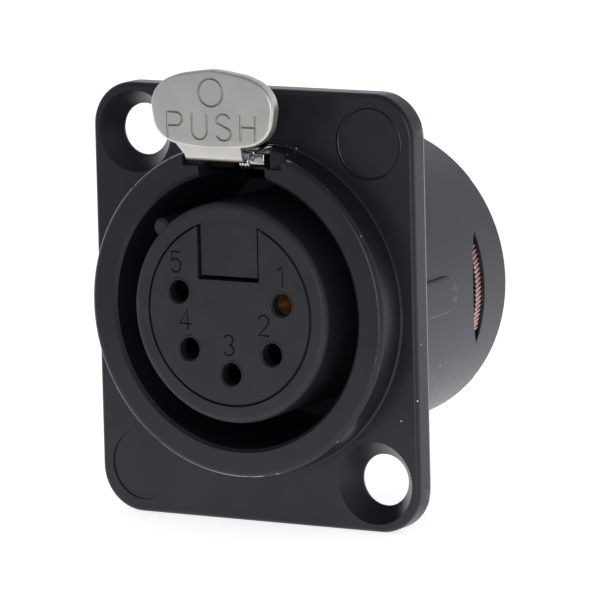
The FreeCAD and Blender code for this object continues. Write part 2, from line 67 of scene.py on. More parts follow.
# Casting: flange, collar with the latch's slot, tapered body, and the dish at the upper right
FLANGE_HALF = 13.0
FLANGE_TOP = 15.5
COLLAR_R = 11.85
SLOT_HALF = 2.7
BODY_TAPER = 0.95 / 15.7
CONE_FRONT = 0.2
CONE_NEAR = 0.03
CONE_FACING = 0.98
DISH_PLACE = (9.5, 12.0)
DISH_FLOOR = -1.58
DISH_RING_R = 2.5
DISH_RING_WIDTH = 0.2

# Cove at the collar's foot: its section as (distance out from the collar, y)
COVE_SECTION = ((-0.06, -1.9), (0.05, -1.77), (0.18, -1.64), (-0.06, -1.6))
COVE_STEPS = 160
# How far its ends stay clear of the slot, in radians
COVE_CLEAR = 0.01

# Softened edges: the width of each round, and the limits that pick out the casting's edges
PAD_ROUND = 0.22
PAD_LEFT = 9.0
PAD_FRONT = 0.3
PAD_REAR = 7.0
PAD_PROUD = 0.3
WINDOW_ROUND = 0.08
WINDOW_LEFT = 8.0
WINDOW_FRONT = 9.0
WINDOW_SUNK = 0.08
REAR_ROUND = 0.1
REAR_NEAR = 0.02
OUTLINE_NEAR = 0.1
RECESS_ROUND = 0.07
RECESS_REAR = -2.0
RECESS_LOW = 9.5
RECESS_HALF = 4.6
SLEEVE_ROUND = 0.05

# Marks on the paint: the collar's rubbed rim, and lines of painted highlight along the flange's
# rear corners at sides and top
RUBBED_RIM_R = 11.76
RUBBED_RIM_HALF = 0.045
RUBBED_RIM_REAR = -4.0
EDGE_HIGHLIGHT_SIDE_FROM = FLANGE_HALF - 0.15
EDGE_HIGHLIGHT_SIDE_Y = -0.07
EDGE_HIGHLIGHT_SIDE_HALF = 0.065
EDGE_HIGHLIGHT_TOP_FROM = FLANGE_TOP - 0.04
EDGE_HIGHLIGHT_TOP_FRONT = -0.28

# Insert: front face, how far back the painted light and shade in the contacts' bores reach, contact
# holes as (x, z), digits as (left, low), and the seam round the carrier
INSERT_FRONT = -5.18
BORE_END = 6.0
CONTACT_PLACES = {
    1: (4.241, 0.824), 2: (3.357, -2.719), 3: (0.0, -4.32), 4: (-3.357, -2.719), 5: (-4.109, 1.335)}
LIP_R = 0.93
LIP_THICK = 0.055
DIGIT_PLACES = {
    "5": (-4.68, 2.7), "4": (-4.05, -1.36), "3": (-0.5, -2.98), "2": (2.38, -1.4), "1": (4.0, 2.14)}
DIGIT_TALL = 1.45
DIGIT_WIDTH = 0.13
SEAM_FROM = 65
SEAM_TO = -245
SEAM_WIDTH = 0.17

# Retaining ring: the ribs that stand out from it in the body's window
RING_MIDDLE = 11.55
RING_R = 10.66
RIB_COUNT = 204
RIB_LENGTH = 1.3
RIB_R = 0.135
RIB_LEAN = 24
RIBS_OUT = 0.13
RIBS_FROM_X = 10.3

# Lever's thumb tab: the right half of its outline as (x, z), its peak, word and plain ring
TAB_FRONT = -7.05
TAB_CENTRE = 0.06
TAB_THICK = 1.0
TAB_EDGE = 0.22
TAB_PEAK = 17.4
TAB_FOOT = 12.06
TAB_SIDE = [
    (1.5, 17.22), (3.1, 16.88), (4.3, 16.2), (4.88, 15.2), (4.87, 14.2), (4.5, 13.05),
    (3.7, 12.35), (2.8, TAB_FOOT)]
TAB_RING = (0.05, 15.81, 0.97)
LETTER_LEFTS = {"P": -3.53, "U": -1.53, "S": 0.44, "H": 2.39}
LETTER_LOW = 12.5
LETTER_TALL = 1.84
LETTER_WIDTH = 0.15

# Lever's neck: a thin sheet that leans back from the tab, bends and runs to the arm. Its top is
# sunk into the tab, back and up, so that no end shows.
NECK_SUNK = (0.2, 0.3)
NECK_LEFT = 2.3
NECK_RIGHT = 2.3
NECK_FLARE = 0.75
NECK_FLARE_FROM = 11.45
NECK_FLARE_TO = TAB_FOOT + 0.1
NECK_TOP = 12.32
NECK_LEAN = 14.0
SHEET_THICK = 0.28
SHEET_EDGE = 0.07
BEND_R = 0.62
BEND_LOW = 10.85
BEND_STEPS = 12
ARM_RIGHT = -0.1
ARM_FAR = (-4.5, 10.62)
# Just behind the solid lever's wall at y -4.9, so that the cut leaves none of that wall
ARM_CUT = -4.9 + 0.02

# Under the lever's fold: the heights at which painted shade turns its plate brown, and then black
SHADE_BROWN_FROM = 11.22
SHADE_BROWN_TO = 10.92
SHADE_BLACK_FROM = 10.98
SHADE_BLACK_TO = 10.82

# Hinge pin, its squared shoulder as (low corner, high corner), and the lug at its right end
PIN_Y = -2.93
PIN_Z = 10.56
PIN_SHOULDER = ((1.2, -3.36, 10.35), (2.05, -2.6, 11.1))
SHOULDER_EDGE = 0.07
LUG_LEFT = 2.1
LUG_RIGHT = SLOT_HALF + 0.05
LUG_REAR = -1.9
LUG_HALF = 0.52
LUG_STEPS = 8

# Floor: its height, its near edge, and half its side
FLOOR_Z = -15.5
FLOOR_EDGE_Y = -50.0
FLOOR_HALF = 1500.0


# ---- Nodes and colours ----

def linear(code):
    """An sRGB hex colour as linear red, green and blue, then a one for opaque."""
    values = []
    for place in (1, 3, 5):
        part = int(code[place:place + 2], 16) / 255
        values.append(part / 12.92 if part <= 0.04045 else ((part + 0.055) / 1.055) ** 2.4)
    return (*values, 1.0)


def grey(value):
    """A linear grey as a colour, for ramps that give a mask or a roughness."""
    return (value, value, value, 1.0)


def per_mm(size):
    """The scale of a pattern whose marks are this many millimetres apart."""
    return 1 / (size * MM)


def add(tree, kind, links=None, stops=None, **settings):
    """Adds a node with its settings, its inputs' values or links, and a colour ramp's stops."""
    made = tree.nodes.new(kind)
    for name, value in settings.items():
        setattr(made, name, value)
    for key, value in (links or {}).items():
        if isinstance(value, bpy.types.NodeSocket):
            tree.links.new(value, made.inputs[key])
        else:
            made.inputs[key].default_value = value
    if stops:
        points = made.color_ramp.elements
        while len(points) < len(stops):
            points.new(0.5)
        for point, (place, shade) in zip(points, stops):
            point.position = place
            point.color = shade
    return made


def new_material(name):
    """An empty material and its node tree."""
    made = bpy.data.materials.new(name)
    made.use_nodes = True
    made.node_tree.nodes.clear()
    return made, made.node_tree


def close_material(tree, shader):
    """Sends the shader to the surface."""
    add(tree, "ShaderNodeOutputMaterial", {"Surface": shader.outputs["BSDF"]})


def specks(tree, place, apart, core, edge, left_out):
    """A mask of small round specks, one in some of the cells of a loose grid.

    The cells are this many millimetres apart. A speck is whole to its core and gone at its edge, both
    as shares of a cell, and the given share of the cells has none."""
    cells = add(tree, "ShaderNodeTexVoronoi", {"Vector": place, "Scale": per_mm(apart)}, feature="F1")
    near = add(tree, "ShaderNodeValToRGB", {"Fac": cells.outputs["Distance"]}, [
        (core, grey(1.0)), (edge, grey(0.0))]).outputs["Color"]
    red = add(tree, "ShaderNodeSeparateColor", {"Color": cells.outputs["Color"]}).outputs["Red"]
    chosen = add(tree, "ShaderNodeMath", {0: red, 1: left_out}, operation="GREATER_THAN").outputs[0]
    return add(tree, "ShaderNodeMath", {0: near, 1: chosen}, operation="MULTIPLY").outputs[0]


# ---- Materials ----

def satin_black_paint():
    """Stoved satin black paint on a zinc casting.

    The eye sees a very dark, slightly blue skin with fine orange peel, a few specks of dust, bare grey
    metal where the collar's rim is rubbed, and lines of painted highlight along the flange's rear
    corners."""
    made, tree = new_material("satin_black_paint_on_zinc")
    place = add(tree, "ShaderNodeTexCoord").outputs["Object"]
    parts = add(tree, "ShaderNodeSeparateXYZ", {"Vector": place})
    peel = add(tree, "ShaderNodeTexNoise", {
        "Vector": place, "Scale": per_mm(0.25), "Detail": 3.0, "Roughness": 0.6}).outputs["Fac"]
    patches = add(tree, "ShaderNodeTexNoise", {
        "Vector": place, "Scale": per_mm(4.0), "Detail": 2.0}).outputs["Fac"]
    broken = add(tree, "ShaderNodeTexNoise", {
        "Vector": place, "Scale": per_mm(0.5), "Detail": 4.0, "Roughness": 0.7}).outputs["Fac"]
    base = add(tree, "ShaderNodeValToRGB", {"Fac": patches}, [
        (0.3, linear("#191c21")), (0.7, linear("#1f2328"))]).outputs["Color"]

    # Collar's rim: a thin broken line round its front, fainter to the right
    flat = add(tree, "ShaderNodeVectorMath", {
        0: place, 1: (1.0, 0.0, 1.0)}, operation="MULTIPLY").outputs[0]
    radius = add(tree, "ShaderNodeVectorMath", {0: flat}, operation="LENGTH").outputs["Value"]
    on_rim = add(tree, "ShaderNodeMath", {
        0: radius, 1: RUBBED_RIM_R * MM, 2: RUBBED_RIM_HALF * MM}, operation="COMPARE").outputs[0]
    in_front = add(tree, "ShaderNodeMath", {
        0: parts.outputs["Y"], 1: RUBBED_RIM_REAR * MM}, operation="LESS_THAN").outputs[0]
    less_right = add(tree, "ShaderNodeMapRange", {
        "Value": parts.outputs["X"], "From Min": 0.0, "From Max": 5 * MM,
        "To Min": 0.42, "To Max": 0.66}).outputs[0]
    rim_marks = add(tree, "ShaderNodeMath", {
        0: broken, 1: less_right}, operation="GREATER_THAN").outputs[0]

    # Flange's rear corners: broken lines of painted highlight down its two sides and along its top
    aside = add(tree, "ShaderNodeMath", {0: parts.outputs["X"]}, operation="ABSOLUTE").outputs[0]
    at_side = add(tree, "ShaderNodeMath", {
        0: aside, 1: EDGE_HIGHLIGHT_SIDE_FROM * MM}, operation="GREATER_THAN").outputs[0]
    at_rear = add(tree, "ShaderNodeMath", {
        0: parts.outputs["Y"], 1: EDGE_HIGHLIGHT_SIDE_Y * MM, 2: EDGE_HIGHLIGHT_SIDE_HALF * MM},
        operation="COMPARE").outputs[0]
    at_top = add(tree, "ShaderNodeMath", {
        0: parts.outputs["Z"], 1: EDGE_HIGHLIGHT_TOP_FROM * MM}, operation="GREATER_THAN").outputs[0]
    behind = add(tree, "ShaderNodeMath", {
        0: parts.outputs["Y"], 1: EDGE_HIGHLIGHT_TOP_FRONT * MM}, operation="GREATER_THAN").outputs[0]
    corner_highlight_marks = add(tree, "ShaderNodeMath", {
        0: broken, 1: 0.38}, operation="GREATER_THAN").outputs[0]

    # The collar's rubbed rim and the painted highlight lines on the flange's corners, laid on in one
    # grey
    rim_wear_and_edge_highlight = 0.0
    for side, depth, marks in (
            (on_rim, in_front, rim_marks), (at_side, at_rear, corner_highlight_marks),
            (at_top, behind, corner_highlight_marks)):
        line = add(tree, "ShaderNodeMath", {0: side, 1: depth}, operation="MULTIPLY").outputs[0]
        line = add(tree, "ShaderNodeMath", {0: line, 1: marks}, operation="MULTIPLY").outputs[0]
        rim_wear_and_edge_highlight = add(tree, "ShaderNodeMath", {0: rim_wear_and_edge_highlight, 1: line}, operation="MAXIMUM").outputs[0]
    dust = specks(tree, place, apart=1.3, core=0.035, edge=0.06, left_out=0.86)
    for mask, colour in ((rim_wear_and_edge_highlight, "#8e9397"), (dust, "#c9ccd0")):
        base = add(tree, "ShaderNodeMix", {
            0: mask, 6: base, 7: linear(colour)}, data_type="RGBA").outputs[2]

    rough = add(tree, "ShaderNodeValToRGB", {"Fac": peel}, [
        (0.25, grey(0.30)), (0.75, grey(0.38))]).outputs["Color"]
    bump = add(tree, "ShaderNodeBump", {"Height": peel, "Strength": 0.22, "Distance": 0.02 * MM})
    close_material(tree, add(tree, "ShaderNodeBsdfPrincipled", {
        "Base Color": base, "Roughness": rough, "Specular IOR Level": 0.36,
        "Normal": bump.outputs["Normal"]}))
    return made


def black_polyamide(name, low, high, sheen):
    """Glass-filled polyamide out of a spark-eroded mould.

    The eye sees a dead, fine-grained black with a soft shine and a few pale specks of dust. The grain
    is drawn at 0.17 mm, coarser than the real one, so that it shows."""
    made, tree = new_material(name)
    place = add(tree, "ShaderNodeTexCoord").outputs["Object"]
    grain = add(tree, "ShaderNodeTexNoise", {
        "Vector": place, "Scale": per_mm(0.17), "Detail": 3.0, "Roughness": 0.6}).outputs["Fac"]
    patches = add(tree, "ShaderNodeTexNoise", {
        "Vector": place, "Scale": per_mm(2.0), "Detail": 2.0}).outputs["Fac"]
    base = add(tree, "ShaderNodeValToRGB", {"Fac": patches}, [
        (0.3, linear(low)), (0.7, linear(high))]).outputs["Color"]
    dust = specks(tree, place, apart=1.7, core=0.02, edge=0.04, left_out=0.93)
    base = add(tree, "ShaderNodeMix", {
        0: dust, 6: base, 7: linear("#8b8e92")}, data_type="RGBA").outputs[2]
    rough = add(tree, "ShaderNodeValToRGB", {"Fac": grain}, [
        (0.25, grey(0.44)), (0.75, grey(0.56))]).outputs["Color"]
    bump = add(tree, "ShaderNodeBump", {"Height": grain, "Strength": 0.3, "Distance": 0.02 * MM})
    close_material(tree, add(tree, "ShaderNodeBsdfPrincipled", {
        "Base Color": base, "Roughness": rough, "Specular IOR Level": sheen,
        "Normal": bump.outputs["Normal"]}))
    return made


def metal(name, dark, light, gloss, patch_mm, grain_mm, stretch=(1.0, 1.0, 1.0), bore_painted_tone=None):
    """A bare or plated metal: two near shades in patches, and fine marks that break up its shine.

    A contact's metal takes another colour in front of BORE_END, along its bore: painted light where
    light falls into the bore, painted shade where little light gets in."""
    made, tree = new_material(name)
    place = add(tree, "ShaderNodeTexCoord").outputs["Object"]
    laid = add(tree, "ShaderNodeMapping", {"Vector": place, "Scale": stretch}).outputs["Vector"]
    patches = add(tree, "ShaderNodeTexNoise", {
        "Vector": place, "Scale": per_mm(patch_mm), "Detail": 3.0}).outputs["Fac"]
    marks = add(tree, "ShaderNodeTexNoise", {
        "Vector": laid, "Scale": per_mm(grain_mm), "Detail": 3.0, "Roughness": 0.6}).outputs["Fac"]
    base = add(tree, "ShaderNodeValToRGB", {"Fac": patches}, [
        (0.3, linear(dark)), (0.7, linear(light))]).outputs["Color"]
    # The bore's colour: painted light in the first contact, painted shade in the others
    if bore_painted_tone:
        depth = add(tree, "ShaderNodeSeparateXYZ", {"Vector": place}).outputs["Y"]
        in_bore = add(tree, "ShaderNodeMath", {
            0: depth, 1: BORE_END * MM}, operation="LESS_THAN").outputs[0]
        base = add(tree, "ShaderNodeMix", {
            0: in_bore, 6: base, 7: linear(bore_painted_tone)}, data_type="RGBA").outputs[2]
    rough = add(tree, "ShaderNodeValToRGB", {"Fac": marks}, [
        (0.3, grey(gloss[0])), (0.7, grey(gloss[1]))]).outputs["Color"]
    bump = add(tree, "ShaderNodeBump", {"Height": marks, "Strength": 0.15, "Distance": 0.01 * MM})
    close_material(tree, add(tree, "ShaderNodeBsdfPrincipled", {
        "Base Color": base, "Metallic": 1.0, "Roughness": rough, "Normal": bump.outputs["Normal"]}))
    return made


def lever_nickel():
    """Barrel-tumbled nickel plate on steel: warm light grey, nearly even, with faint cloudy patches.

    Under the fold it turns brown and then black: painted shade, where the fold keeps the light off."""
    made, tree = new_material("tumbled_satin_nickel_on_steel")
    place = add(tree, "ShaderNodeTexCoord").outputs["Object"]
    height = add(tree, "ShaderNodeSeparateXYZ", {"Vector": place}).outputs["Z"]
    clouds = add(tree, "ShaderNodeTexNoise", {
        "Vector": place, "Scale": per_mm(1.6), "Detail": 4.0}).outputs["Fac"]
    marks = add(tree, "ShaderNodeTexNoise", {
        "Vector": place, "Scale": per_mm(0.13), "Detail": 3.0, "Roughness": 0.6}).outputs["Fac"]
    base = add(tree, "ShaderNodeValToRGB", {"Fac": clouds}, [
        (0.3, linear("#cfccc4")), (0.7, linear("#d8d5cd"))]).outputs["Color"]
    # Painted shade under the fold: brown, then black lower down
    shade_depth = add(tree, "ShaderNodeMapRange", {
        "Value": height, "From Min": SHADE_BROWN_FROM * MM, "From Max": SHADE_BROWN_TO * MM}).outputs[0]
    brown = add(tree, "ShaderNodeValToRGB", {"Fac": shade_depth}, [
        (0.0, grey(0.0)), (0.45, grey(0.5)), (1.0, grey(0.95))]).outputs["Color"]
    black = add(tree, "ShaderNodeMapRange", {
        "Value": height, "From Min": SHADE_BLACK_FROM * MM, "From Max": SHADE_BLACK_TO * MM}).outputs[0]
    for mask, colour in ((brown, "#5a3d26"), (black, "#120e0a")):
        base = add(tree, "ShaderNodeMix", {
            0: mask, 6: base, 7: linear(colour)}, data_type="RGBA").outputs[2]
    rough = add(tree, "ShaderNodeValToRGB", {"Fac": marks}, [
        (0.3, grey(0.36)), (0.7, grey(0.46))]).outputs["Color"]
    bump = add(tree, "ShaderNodeBump", {"Height": marks, "Strength": 0.15, "Distance": 0.01 * MM})
    close_material(tree, add(tree, "ShaderNodeBsdfPrincipled", {
        "Base Color": base, "Metallic": 1.0, "Roughness": rough, "Normal": bump.outputs["Normal"]}))
    return made


PAINT = satin_black_paint()
POLYAMIDE = black_polyamide("moulded_black_polyamide", "#1d2024", "#24272c", 0.38)
# In the digits and the seam: darker and without shine, so that they read as shaded grooves
SHADED_POLYAMIDE = black_polyamide("black_polyamide_in_digits", "#0a0b0d", "#111215", 0.15)
NICKEL = lever_nickel()
# At the bottom of the tab's letters: duller and darker than the plate round them
TARNISH = metal("tarnished_nickel_in_letters", "#8c887f", "#9f9b92", (0.4, 0.5), 0.8, 0.1)
# On the lug beside the coil: almost black, painted shade, with a broad faint shine
SHADE_BLACK_METAL = metal("near_black_steel_painted_shade", "#0f0b08", "#18120c", (0.5, 0.65), 0.8, 0.1)
# Gold plate over turned brass: warm yellow, with pale painted light in the first contact's bore
# and brown painted shade in the others' bores
GOLD_WITH_PAINTED_LIT_BORE = metal(
    "gold_plated_brass_painted_light_in_bore", "#d9a04a", "#ecb866", (0.25, 0.38), 1.2, 0.1, bore_painted_tone="#ffe6b8")
GOLD = metal("gold_plated_brass", "#d9a04a", "#ecb866", (0.25, 0.38), 1.2, 0.1, bore_painted_tone="#8a6a44")
# Drawn wire and pin: bright and nearly white, with draw marks along X, the coil's and pin's axis
STEEL = metal(
    "bright_drawn_spring_steel", "#c4c5c6", "#dadbdc", (0.16, 0.28), 0.8, 0.08, (0.15, 1.0, 1.0))
# Rolled strip: pinkish, with fine marks that break its bright shine into short glints
BRONZE = metal("rolled_phosphor_bronze", "#b8948a", "#e0c6be", (0.2, 0.34), 0.6, 0.08)

NODE_MATERIALS = {
    "shell": PAINT, "insert_sleeve": POLYAMIDE, "contact_carrier": POLYAMIDE, "rear_cap": POLYAMIDE,
    "contact_1": GOLD_WITH_PAINTED_LIT_BORE, "contact_2": GOLD, "contact_3": GOLD, "contact_4": GOLD, "contact_5": GOLD,
    "latch_lever": NICKEL, "latch_pin": STEEL, "latch_spring": STEEL,
    "ground_contact": BRONZE, "retaining_ring": BRONZE}

for name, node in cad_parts.items():
    node.data.materials.clear()
    node.data.materials.append(NODE_MATERIALS[name])


# ---- Making and changing meshes ----

def link_mesh(name, mesh):
    """Puts the mesh into the scene as an object at the origin."""
    made = bpy.data.objects.new(name, mesh)
    bpy.context.scene.collection.objects.link(made)
    return made


def piece_from(solid, name, material=None):
    """Turns a bmesh into a piece with its material, and frees the bmesh."""
    mesh = bpy.data.meshes.new(name)
    solid.to_mesh(mesh)
    solid.free()
    if material:
        mesh.materials.append(material)
    return link_mesh(name, mesh)


def curve_mesh(name, curve):
    """The plain mesh that a curve makes."""
    holder = bpy.data.objects.new(name, curve)
    mesh = bpy.data.meshes.new_from_object(holder)
    bpy.data.objects.remove(holder)
    return mesh


def merged_copy(node, name):
    """The CAD node's mesh as a closed mesh of its own, with flat faces dissolved into one."""
    solid = bmesh.new()
    solid.from_mesh(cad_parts[node].data)
    bmesh.ops.remove_doubles(solid, verts=solid.verts, dist=WELD * MM)
    bmesh.ops.dissolve_limit(
        solid, angle_limit=math.radians(0.5), verts=solid.verts, edges=solid.edges)
    piece = piece_from(solid, name, NODE_MATERIALS[node])
    if "custom_normal" in piece.data.attributes:
        piece.data.attributes.remove(piece.data.attributes["custom_normal"])
    return piece


def soften(piece, width, where, sharp=35.0, rounds=2):
    """A small round on the sharp edges whose middle, in millimetres, passes the given test."""
    solid = bmesh.new()
    solid.from_mesh(piece.data)
    chosen = []
    for edge in solid.edges:
        if len(edge.link_faces) == 2 and edge.calc_face_angle(0.0) > math.radians(sharp):
            middle = (edge.verts[0].co + edge.verts[1].co) / 2 / MM
            if where(middle):
                chosen.append(edge)
    bmesh.ops.bevel(
        solid, geom=chosen, offset=width * MM, segments=rounds, profile=0.5, affect="EDGES",
        clamp_overlap=True)
    bmesh.ops.remove_doubles(solid, verts=solid.verts, dist=WELD * MM)
    solid.to_mesh(piece.data)
    solid.free()


def face_outward(piece, merge=None):
    """Turns the faces outwards, after points nearer than the merge distance are made one."""
    solid = bmesh.new()
    solid.from_mesh(piece.data)
    if merge:
        bmesh.ops.remove_doubles(solid, verts=solid.verts, dist=merge * MM)
    bmesh.ops.recalc_face_normals(solid, faces=solid.faces)
    solid.to_mesh(piece.data)
    solid.free()


def skinned(name, rings, material):
    """A closed solid through rings of (x, y, z) points, with a flat face on each end."""
    solid = bmesh.new()
    rows = [[solid.verts.new((x * MM, y * MM, z * MM)) for x, y, z in ring] for ring in rings]
    for one, two in zip(rows, rows[1:]):
        for side in range(len(one)):
            after = (side + 1) % len(one)
            solid.faces.new((one[side], one[after], two[after], two[side]))
    solid.faces.new(rows[0])
    solid.faces.new(reversed(rows[-1]))
    bmesh.ops.recalc_face_normals(solid, faces=solid.faces)
    return piece_from(solid, name, material)


def joined(piece, other):
    """Adds the second piece's mesh to the first's and removes the second."""
    for face in other.data.polygons:
        material = other.data.materials[face.material_index]
        if material.name not in piece.data.materials:
            piece.data.materials.append(material)
        face.material_index = piece.data.materials.find(material.name)
    whole = bmesh.new()
    whole.from_mesh(piece.data)
    whole.from_mesh(other.data)
    whole.to_mesh(piece.data)
    whole.free()
    bpy.data.objects.remove(other)


def plain_mesh(piece):
    """Replaces the piece's mesh by its evaluated one and removes its modifiers."""
    evaluated = piece.evaluated_get(bpy.context.evaluated_depsgraph_get())
    mesh = bpy.data.meshes.new_from_object(evaluated)
    piece.modifiers.clear()
    piece.data = mesh
    mesh.name = piece.name
    return piece


def smooth(piece, angle=30.0):
    """Smooth shading up to the given angle, evened so that large faces stay flat."""
    for face in piece.data.polygons:
        face.use_smooth = True
    piece.data.set_sharp_from_angle(angle=math.radians(angle))
    even = piece.modifiers.new("even_shading", "WEIGHTED_NORMAL")
    even.keep_sharp = True
    plain_mesh(piece)


def finish_piece(piece, body, slot, *nodes):
    """Hangs the piece on its body's empty and hides the nodes that it stands for; the slot is not used.
    """
    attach(piece, body)
    if nodes:
        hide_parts(*nodes)


# ---- Engraving ----

def arc(cx, cz, rx, rz, start, end, count=12):
    """Points on part of an ellipse, angles in degrees from +X towards +Z."""
    points = []
    for number in range(count + 1):
        turn = math.radians(start + (end - start) * number / count)
        points.append((cx + rx * math.cos(turn), cz + rz * math.sin(turn)))
    return points


def ring_stroke(x, z, radius):
    """A closed circle, whose last point repeats the first."""
    points = arc(x, z, radius, radius, 0, 360, 64)
    return points[:-1] + [points[0]]


# Letters and digits as strokes in a box one high
GLYPHS = {
    "P": [[(0, 0), (0, 1), (0.38, 1)] + arc(0.38, 0.745, 0.28, 0.255, 90, -90) + [(0, 0.49)]],
    "U": [[(0, 1)] + arc(0.33, 0.33, 0.33, 0.33, 180, 360) + [(0.66, 1)]],
    "S": [arc(0.32, 0.745, 0.3, 0.255, 20, 200) + arc(0.32, 0.255, 0.32, 0.255, 75, -160)],
    "H": [[(0, 0), (0, 1)], [(0.64, 0), (0.64, 1)], [(0, 0.54), (0.64, 0.54)]],
    "1": [[(0.0, 0.78), (0.26, 1), (0.26, 0)]],
    "2": [arc(0.28, 0.72, 0.28, 0.28, 170, -35) + [(0, 0), (0.58, 0)]],
    "3": [arc(0.27, 0.755, 0.25, 0.245, 160, -80) + arc(0.27, 0.26, 0.28, 0.26, 80, -160)],
    "4": [[(0.44, 0), (0.44, 1), (0, 0.3), (0.62, 0.3)]],
    "5": [[(0.52, 1), (0.08, 1), (0.03, 0.55)] + arc(0.27, 0.33, 0.29, 0.33, 125, -150)]}


def placed(glyph, left, low, tall):
    """A letter's or digit's strokes at their place and height."""
    return [[(left + x * tall, low + z * tall) for x, z in stroke] for stroke in GLYPHS[glyph]]


def engrave(piece, name, strokes, width, front, material):
    """Cuts flat strokes, given as (x, z) points, into a front face with a round-ended tool."""
    tubes = bmesh.new()
    for points in strokes:
        curve = bpy.data.curves.new(name, "CURVE")
        curve.dimensions = "3D"
        curve.bevel_depth = width / 2 * MM
        curve.bevel_resolution = 2
        curve.use_fill_caps = True
        line = curve.splines.new("POLY")
        line.points.add(len(points) - 1)
        for point, (x, z) in zip(line.points, points):
            point.co = (x * MM, front * MM, z * MM, 1)
        if points[0] == points[-1]:
            line.use_cyclic_u = True
        tubes.from_mesh(curve_mesh(name, curve))
    bmesh.ops.remove_doubles(tubes, verts=tubes.verts, dist=WELD * MM)
    bmesh.ops.recalc_face_normals(tubes, faces=tubes.faces)
    tool = piece_from(tubes, name, material)
    cut = piece.modifiers.new("engraved", "BOOLEAN")
    cut.operation = "DIFFERENCE"
    cut.solver = "EXACT"
    cut.material_mode = "TRANSFER"
    cut.use_self = True
    cut.object = tool
    plain_mesh(piece)
    bpy.data.objects.remove(tool)


# ---- Geometry Nodes: what repeats ----

def geometry_tree(name, inputs):
    """A Geometry Nodes tree with a geometry in and out and the named inputs beside it."""
    tree = bpy.data.node_groups.new(name, "GeometryNodeTree")
    tree.interface.new_socket("Geometry", in_out="OUTPUT", socket_type="NodeSocketGeometry")
    tree.interface.new_socket("Geometry", in_out="INPUT", socket_type="NodeSocketGeometry")
    for title, kind in inputs.items():
        tree.interface.new_socket(title, in_out="INPUT", socket_type=kind)
    return tree, add(tree, "NodeGroupInput").outputs


def grown(name, mesh, tree, values):
    """The plain mesh that a tree makes, its inputs set by their sockets' identifiers."""
    piece = link_mesh(name, mesh)
    made = piece.modifiers.new(name, "NODES")
    made.node_group = tree
    for item in tree.interface.items_tree:
        if item.in_out == "INPUT" and item.name in values:
            made[item.identifier] = values[item.name]
    return plain_mesh(piece)


def ribbed_band():
    """Leaning ribs on the part of the retaining ring that stands in the window."""
    tree, given = geometry_tree("ribs_round_a_ring", {
        "Ring radius": "NodeSocketFloat", "Rib count": "NodeSocketInt",
        "Rib length": "NodeSocketFloat", "Rib radius": "NodeSocketFloat",
        "Lean": "NodeSocketFloat", "Middle": "NodeSocketFloat", "Window edge": "NodeSocketFloat"})
    circle = add(tree, "GeometryNodeMeshCircle", {
        "Vertices": given["Rib count"], "Radius": given["Ring radius"]})
    rib = add(tree, "GeometryNodeMeshCylinder", {
        "Vertices": 8, "Radius": given["Rib radius"], "Depth": given["Rib length"]})
    lean = add(tree, "ShaderNodeCombineXYZ", {"X": given["Lean"]})
    leaning = add(tree, "GeometryNodeTransform", {
        "Geometry": rib.outputs["Mesh"], "Rotation": lean.outputs[0]})

    # Each rib turns with its place on the ring, and only those in the window are kept
    step = add(tree, "ShaderNodeMath", {0: 2 * math.pi, 1: given["Rib count"]}, operation="DIVIDE")
    number = add(tree, "GeometryNodeInputIndex")
    turn = add(tree, "ShaderNodeMath", {
        0: number.outputs[0], 1: step.outputs[0]}, operation="MULTIPLY")
    facing = add(tree, "ShaderNodeCombineXYZ", {"Z": turn.outputs[0]})
    where = add(tree, "ShaderNodeSeparateXYZ", {
        "Vector": add(tree, "GeometryNodeInputPosition").outputs[0]})
    in_window = add(tree, "ShaderNodeMath", {
        0: where.outputs["X"], 1: given["Window edge"]}, operation="GREATER_THAN")
    row = add(tree, "GeometryNodeInstanceOnPoints", {
        "Points": circle.outputs["Mesh"], "Selection": in_window.outputs[0],
        "Instance": leaning.outputs[0], "Rotation": facing.outputs[0]})

    # The ring is made flat and then turned upright round the socket's axis
    along = add(tree, "ShaderNodeCombineXYZ", {"Y": given["Middle"]})
    upright = add(tree, "GeometryNodeTransform", {
        "Geometry": row.outputs[0], "Translation": along.outputs[0],
        "Rotation": (math.radians(-90), 0, 0)})
    real = add(tree, "GeometryNodeRealizeInstances", {"Geometry": upright.outputs[0]})
    finish = add(tree, "GeometryNodeSetMaterial", {"Geometry": real.outputs[0], "Material": BRONZE})
    add(tree, "NodeGroupOutput", {"Geometry": finish.outputs[0]})
    return grown("ring_ribs", bpy.data.meshes.new("ring_ribs"), tree, {
        "Ring radius": (RING_R + RIBS_OUT) * MM, "Rib count": RIB_COUNT,
        "Rib length": RIB_LENGTH * MM, "Rib radius": RIB_R * MM, "Lean": math.radians(RIB_LEAN),
        "Middle": RING_MIDDLE * MM, "Window edge": RIBS_FROM_X * MM})


